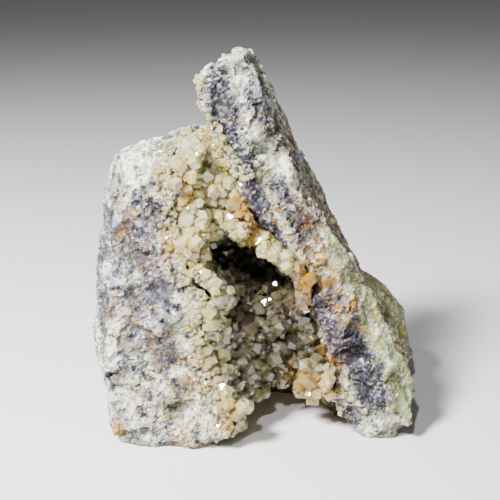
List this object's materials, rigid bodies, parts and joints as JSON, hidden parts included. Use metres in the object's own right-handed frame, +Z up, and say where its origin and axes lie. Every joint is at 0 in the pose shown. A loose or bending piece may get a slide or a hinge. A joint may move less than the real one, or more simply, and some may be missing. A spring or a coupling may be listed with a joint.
{
  "type": "geode half",
  "caption": "Broken half of a lumpy stone geode, standing on its broken rim like a tent, with a crust of small pale quartz points lining its open hollow.",
  "frame": {"origin": "on the table, under the middle of the stone's bounding box", "axes": "+Z up through the peak, -Y out of the broken front face with the open hollow, +X to the right when facing that face"},
  "size_m": [0.0528, 0.0338, 0.0575],
  "materials": {
    "rock": "rough, granular, mottled",
    "quartz": "glassy, milky to clear"
  },
  "bodies": {
    "root": {"rock_shell": "rock", "quartz_crust": "quartz"}
  },
  "joints": []
}
